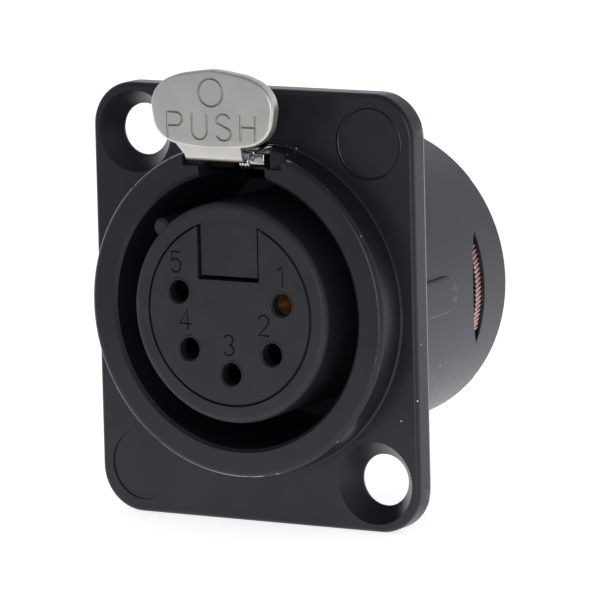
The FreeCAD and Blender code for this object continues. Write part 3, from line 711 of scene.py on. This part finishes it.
def contact_hole_rims():
    """A fine raised lip round each of the five contact holes."""
    tree, given = geometry_tree("lips_on_points", {
        "Lip radius": "NodeSocketFloat", "Lip thickness": "NodeSocketFloat"})
    circle = add(tree, "GeometryNodeCurvePrimitiveCircle", {
        "Resolution": 48, "Radius": given["Lip radius"]})
    section = add(tree, "GeometryNodeCurvePrimitiveCircle", {
        "Resolution": 10, "Radius": given["Lip thickness"]})
    lip = add(tree, "GeometryNodeCurveToMesh", {
        "Curve": circle.outputs["Curve"], "Profile Curve": section.outputs["Curve"]})
    facing = add(tree, "GeometryNodeTransform", {
        "Geometry": lip.outputs[0], "Rotation": (math.radians(90), 0, 0)})
    row = add(tree, "GeometryNodeInstanceOnPoints", {
        "Points": given["Geometry"], "Instance": facing.outputs[0]})
    real = add(tree, "GeometryNodeRealizeInstances", {"Geometry": row.outputs[0]})
    finish = add(tree, "GeometryNodeSetMaterial", {
        "Geometry": real.outputs[0], "Material": POLYAMIDE})
    add(tree, "NodeGroupOutput", {"Geometry": finish.outputs[0]})
    centres = bpy.data.meshes.new("contact_hole_rims")
    centres.from_pydata(
        [(x * MM, INSERT_FRONT * MM, z * MM) for x, z in CONTACT_PLACES.values()], [], [])
    rims = grown("contact_hole_rims", centres, tree, {
        "Lip radius": LIP_R * MM, "Lip thickness": LIP_THICK * MM})
    face_outward(rims)
    return rims


# ---- Casting ----

def body_proud(middle):
    """How far a point, in millimetres, stands out from the tapered body."""
    return math.hypot(middle.x, middle.z) - (COLLAR_R - BODY_TAPER * middle.y)


def on_pad(middle):
    """On the top of the raised pad on the body's right side."""
    in_length = PAD_FRONT < middle.y < PAD_REAR
    return middle.x > PAD_LEFT and in_length and body_proud(middle) > PAD_PROUD


def on_window(middle):
    """On the outer edge of the window, near the back of the body's right side."""
    at_window = middle.y > WINDOW_FRONT and middle.x > WINDOW_LEFT
    return at_window and body_proud(middle) > -WINDOW_SUNK


def on_flange_rear(middle):
    """On the flange's outline, in the plane of its back."""
    at_side = abs(middle.x) > FLANGE_HALF - OUTLINE_NEAR
    at_end = abs(middle.z) > FLANGE_TOP - OUTLINE_NEAR
    return abs(middle.y) < REAR_NEAR and (at_side or at_end)


def on_recess(middle):
    """Round the recess and the slot at the collar's top that the lever lies in."""
    return middle.y < RECESS_REAR and middle.z > RECESS_LOW and abs(middle.x) < RECESS_HALF


def even_cone(piece):
    """Exact normals where the body is a plain cone, so that no facet shows in its shine."""
    mesh = piece.data
    normals = [corner.vector.copy() for corner in mesh.corner_normals]
    for face in mesh.polygons:
        for corner in face.loop_indices:
            place = mesh.vertices[mesh.loops[corner].vertex_index].co / MM
            across = math.hypot(place.x, place.z)
            if place.y < CONE_FRONT or abs(body_proud(place)) > CONE_NEAR:
                continue
            way = Vector((place.x / across, BODY_TAPER, place.z / across)).normalized()
            if face.normal.dot(way) > CONE_FACING:
                normals[corner] = way
    mesh.normals_split_custom_set(normals)


def collar_cove():
    """The small paint-filled cove where the collar meets the flange, open at the latch's slot."""
    gap = math.asin(SLOT_HALF / COLLAR_R) + COVE_CLEAR
    rings = []
    for number in range(COVE_STEPS + 1):
        turn = math.pi / 2 + gap + (2 * math.pi - 2 * gap) * number / COVE_STEPS
        rings.append([
            ((COLLAR_R + out) * math.cos(turn), y, (COLLAR_R + out) * math.sin(turn))
            for out, y in COVE_SECTION])
    return skinned("collar_cove", rings, PAINT)


def pin_lug():
    """A small casting block with a rounded front over the pin's right end, near black as painted shade.
    """
    profile = [(LUG_REAR, PIN_Z - LUG_HALF), (LUG_REAR, PIN_Z + LUG_HALF)]
    profile += arc(PIN_Y, PIN_Z, LUG_HALF, LUG_HALF, 90, 270, LUG_STEPS)
    ends = [[(x, y, z) for y, z in profile] for x in (LUG_LEFT, LUG_RIGHT)]
    return skinned("pin_lug", ends, SHADE_BLACK_METAL)


# ---- Latch ----

def tab_plate():
    """The thumb tab: a plate with a low peaked arch and an edge rounded all the way round."""
    points = [(0, TAB_PEAK)] + TAB_SIDE + [(-x, z) for x, z in reversed(TAB_SIDE)]
    outline = bpy.data.curves.new("tab", "CURVE")
    outline.dimensions = "2D"
    outline.fill_mode = "BOTH"
    outline.extrude = (TAB_THICK / 2 - TAB_EDGE) * MM
    outline.bevel_depth = TAB_EDGE * MM
    outline.bevel_resolution = 4
    outline.offset = -TAB_EDGE * MM
    line = outline.splines.new("BEZIER")
    line.bezier_points.add(len(points) - 1)
    line.use_cyclic_u = True
    line.resolution_u = 10
    for point, (x, z) in zip(line.bezier_points, points):
        point.co = ((x + TAB_CENTRE) * MM, z * MM, 0)
        point.handle_left_type = point.handle_right_type = "AUTO"
    peak = line.bezier_points[0]
    peak.handle_left_type = peak.handle_right_type = "VECTOR"
    mesh = curve_mesh("tab", outline)
    middle = (TAB_FRONT + TAB_THICK / 2) * MM
    upright = Matrix.Rotation(math.radians(90), 4, "X")
    mesh.transform(Matrix.Translation((0, middle, 0)) @ upright)
    mesh.materials.clear()
    mesh.materials.append(NICKEL)
    piece = link_mesh("latch_lever_dressed", mesh)
    face_outward(piece, merge=0.002)
    return piece


def neck_sheet():
    """The bent sheet from the tab's foot to the arm, thin enough to show the coil beside it."""
    lean = math.radians(NECK_LEAN)
    bend_z = BEND_LOW + BEND_R
    fall = NECK_TOP - bend_z + BEND_R * math.sin(lean)
    bend_y = TAB_FRONT + fall * math.tan(lean) + BEND_R * math.cos(lean)
    profile = [(TAB_FRONT + NECK_SUNK[0], NECK_TOP + NECK_SUNK[1]), (TAB_FRONT, NECK_TOP)]
    for number in range(BEND_STEPS + 1):
        turn = lean + (math.pi / 2 - lean) * number / BEND_STEPS
        profile.append((bend_y - BEND_R * math.cos(turn), bend_z - BEND_R * math.sin(turn)))
    profile += [(bend_y + 0.01, BEND_LOW), ARM_FAR]

    # The left side flares towards the tab, and behind the bend only a narrow strip goes on
    flare_height = NECK_FLARE_TO - NECK_FLARE_FROM
    sheet = bmesh.new()
    rows = []
    for y, z in profile:
        rise = min(max((z - NECK_FLARE_FROM) / flare_height, 0), 1)
        left = -NECK_LEFT - NECK_FLARE * rise * rise
        right = ARM_RIGHT if y > bend_y else NECK_RIGHT
        rows.append([sheet.verts.new((x * MM, y * MM, z * MM)) for x in (left, right)])
    for one, two in zip(rows, rows[1:]):
        sheet.faces.new((one[0], two[0], two[1], one[1]))
    piece = piece_from(sheet, "neck_sheet", NICKEL)
    wall = piece.modifiers.new("wall", "SOLIDIFY")
    wall.thickness = SHEET_THICK * MM
    wall.offset = -1
    edge = piece.modifiers.new("edge", "BEVEL")
    edge.width = SHEET_EDGE * MM
    edge.segments = 2
    edge.limit_method = "ANGLE"
    edge.angle_limit = math.radians(50)
    return plain_mesh(piece)


def lever_arm():
    """The CAD lever behind the neck: arm, barrel and hook."""
    arm = merged_copy("latch_lever", "lever_arm")
    solid = bmesh.new()
    solid.from_mesh(arm.data)
    everything = solid.verts[:] + solid.edges[:] + solid.faces[:]
    bmesh.ops.bisect_plane(
        solid, geom=everything, plane_co=(0, ARM_CUT * MM, 0), plane_no=(0, 1, 0), clear_inner=True)
    open_edges = [edge for edge in solid.edges if len(edge.link_faces) == 1]
    bmesh.ops.holes_fill(solid, edges=open_edges)
    bmesh.ops.recalc_face_normals(solid, faces=solid.faces)
    solid.to_mesh(arm.data)
    solid.free()
    return arm


def squared_pin():
    """The latch pin with the squared shoulder that shows between its coil and its lug."""
    pin = merged_copy("latch_pin", "latch_pin_dressed")
    low, high = (Vector(corner) for corner in PIN_SHOULDER)
    block = bmesh.new()
    bmesh.ops.create_cube(block, size=1.0)
    bmesh.ops.scale(block, verts=block.verts, vec=(high - low) * MM)
    bmesh.ops.translate(block, verts=block.verts, vec=(low + high) / 2 * MM)
    bmesh.ops.bevel(
        block, geom=block.edges[:], offset=SHOULDER_EDGE * MM, segments=3, profile=0.5,
        affect="EDGES")
    joined(pin, piece_from(block, "shoulder", STEEL))
    return pin


# ---- The pieces ----

# Casting: soft edges on its pad, window, flange and recess, and a plain ring in its dish
shell = merged_copy("shell", "shell_dressed")
soften(shell, PAD_ROUND, on_pad, sharp=50, rounds=3)
soften(shell, WINDOW_ROUND, on_window)
soften(shell, REAR_ROUND, on_flange_rear, sharp=60)
soften(shell, RECESS_ROUND, on_recess, sharp=50)
dish_ring = [ring_stroke(*DISH_PLACE, DISH_RING_R)]
engrave(shell, "dish_ring", dish_ring, DISH_RING_WIDTH, DISH_FLOOR, PAINT)
smooth(shell)
even_cone(shell)
finish_piece(shell, "socket", "black_casting", "shell")
cove = collar_cove()
smooth(cove, 50)
finish_piece(cove, "socket", "black_casting")

# Insert sleeve
sleeve = merged_copy("insert_sleeve", "insert_sleeve_dressed")
soften(sleeve, SLEEVE_ROUND, lambda middle: middle.y < INSERT_FRONT + 0.02, sharp=60)
smooth(sleeve)
finish_piece(sleeve, "socket", "black_moulding", "insert_sleeve")

# Carrier with its contact numbers, its seam with the sleeve, and its hole lips
carrier = merged_copy("contact_carrier", "contact_carrier_dressed")
digits = []
for digit, (left, low) in DIGIT_PLACES.items():
    digits += placed(digit, left, low, DIGIT_TALL)
engrave(carrier, "digits", digits, DIGIT_WIDTH, INSERT_FRONT, SHADED_POLYAMIDE)
carrier_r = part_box("contact_carrier")[1][0] / MM
seam = [arc(0, 0, carrier_r, carrier_r, SEAM_FROM, SEAM_TO, 96)]
engrave(carrier, "seam", seam, SEAM_WIDTH, INSERT_FRONT, SHADED_POLYAMIDE)
smooth(carrier)
finish_piece(carrier, "socket", "black_moulding", "contact_carrier")
rims = contact_hole_rims()
smooth(rims, 60)
finish_piece(rims, "socket", "black_moulding")

# Ring behind the window, with its ribs
ring = merged_copy("retaining_ring", "retaining_ring_dressed")
joined(ring, ribbed_band())
smooth(ring)
finish_piece(ring, "socket", "bronze_spring", "retaining_ring")

# Lever: thumb tab with its word and a plain ring, thin bent neck, and the CAD arm with its hook
lever = tab_plate()
word = [ring_stroke(*TAB_RING)]
for letter, left in LETTER_LEFTS.items():
    word += placed(letter, left, LETTER_LOW, LETTER_TALL)
engrave(lever, "word", word, LETTER_WIDTH, TAB_FRONT, TARNISH)
joined(lever, neck_sheet())
joined(lever, lever_arm())
smooth(lever)
finish_piece(lever, "lever", "satin_nickel", "latch_lever")

# Lug of the casting that holds the pin's right end, near black as painted shade
lug = pin_lug()
smooth(lug)
finish_piece(lug, "socket", "black_casting")

# Hinge pin
pin = squared_pin()
smooth(pin)
finish_piece(pin, "socket", "bright_steel", "latch_pin")

# Latch spring: a smoothed copy of the CAD spring, baked where it stands
spring = merged_copy("latch_spring", "latch_spring_drawn")
smooth(spring, 60)
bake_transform(spring)
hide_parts("latch_spring")


# ---- Camera, light and floor ----

def direction(turn, rise):
    """The way from the socket to a place turned to its front's right and raised, in radians."""
    flat = math.cos(rise)
    return Vector((math.sin(turn) * flat, -math.cos(turn) * flat, math.sin(rise)))


def make_camera():
    """The photograph's viewpoint, with its slight roll."""
    turn, rise, roll = (math.radians(value) for value in (CAMERA_TURN, CAMERA_RISE, CAMERA_ROLL))
    back = direction(turn, rise)
    right = Vector((math.cos(turn), math.sin(turn), 0))
    up = right.cross(-back)
    across = right * math.cos(roll) + up * math.sin(roll)
    above = up * math.cos(roll) - right * math.sin(roll)
    data = bpy.data.cameras.new("camera")
    data.lens = CAMERA_LENS
    data.sensor_width = CAMERA_SENSOR
    data.clip_start = 0.01
    data.clip_end = 10
    made = bpy.data.objects.new("camera", data)
    bpy.context.scene.collection.objects.link(made)
    made.matrix_world = Matrix((across, above, back)).transposed().to_4x4()
    made.location = (Vector(CAMERA_AIM) + back * CAMERA_AWAY) * MM
    bpy.context.scene.camera = made


def softbox(name, turn, rise, away, size, power):
    """An area light that faces the socket from a direction round it."""
    back = direction(math.radians(turn), math.radians(rise))
    data = bpy.data.lights.new(name, "AREA")
    data.shape = "RECTANGLE"
    data.size = size[0] * MM
    data.size_y = size[1] * MM
    data.energy = power
    made = bpy.data.objects.new(name, data)
    bpy.context.scene.collection.objects.link(made)
    made.location = back * away * MM
    made.rotation_euler = back.to_track_quat("Z", "Y").to_euler()


def white_tent():
    """A white tent round the table: bright behind the socket, dimmer in front and above.

    The camera sees it plain white."""
    world = bpy.data.worlds.new("white_tent")
    bpy.context.scene.world = world
    world.use_nodes = True
    tree = world.node_tree
    tree.nodes.clear()
    way = add(tree, "ShaderNodeSeparateXYZ", {
        "Vector": add(tree, "ShaderNodeTexCoord").outputs["Generated"]})
    behind = add(tree, "ShaderNodeMapRange", {
        "Value": way.outputs["Y"], "From Min": -0.7, "From Max": 0.5,
        "To Min": 0.5, "To Max": 1.06}).outputs[0]
    above = add(tree, "ShaderNodeMapRange", {
        "Value": way.outputs["Z"], "From Min": 0.1, "From Max": 0.9,
        "To Min": 1.0, "To Max": 0.4}).outputs[0]
    power = add(tree, "ShaderNodeMath", {0: behind, 1: above}, operation="MULTIPLY").outputs[0]
    lit = add(tree, "ShaderNodeBackground", {"Color": linear("#f3f7ff"), "Strength": power})
    seen = add(tree, "ShaderNodeBackground", {"Color": linear("#ffffff"), "Strength": 1.0})
    direct = add(tree, "ShaderNodeLightPath").outputs["Is Camera Ray"]
    both = add(tree, "ShaderNodeMixShader", {0: direct, 1: lit.outputs[0], 2: seen.outputs[0]})
    add(tree, "ShaderNodeOutputWorld", {"Surface": both.outputs[0]})


def white_floor():
    """A lit white acrylic sheet, as bright as the paper behind it."""
    solid = bmesh.new()
    bmesh.ops.create_grid(solid, x_segments=1, y_segments=1, size=FLOOR_HALF * MM)
    middle = (0, (FLOOR_HALF + FLOOR_EDGE_Y) * MM, FLOOR_Z * MM)
    bmesh.ops.translate(solid, verts=solid.verts, vec=middle)
    made, tree = new_material("lit_white_acrylic")
    place = add(tree, "ShaderNodeTexCoord").outputs["Object"]
    clouds = add(tree, "ShaderNodeTexNoise", {
        "Vector": place, "Scale": per_mm(40.0)}).outputs["Fac"]
    tone = add(tree, "ShaderNodeValToRGB", {"Fac": clouds}, [
        (0.3, linear("#f2f2f2")), (0.7, linear("#f6f6f6"))]).outputs["Color"]
    close_material(tree, add(tree, "ShaderNodeBsdfPrincipled", {
        "Base Color": tone, "Roughness": 0.8, "Specular IOR Level": 0.1,
        "Emission Color": linear("#ffffff"), "Emission Strength": 0.75}))
    piece_from(solid, "floor", made)


make_camera()
white_tent()
softbox("front_strip", turn=18, rise=4, away=420, size=(50, 200), power=0.35)
white_floor()
bpy.context.scene.view_settings.view_transform = "Standard"
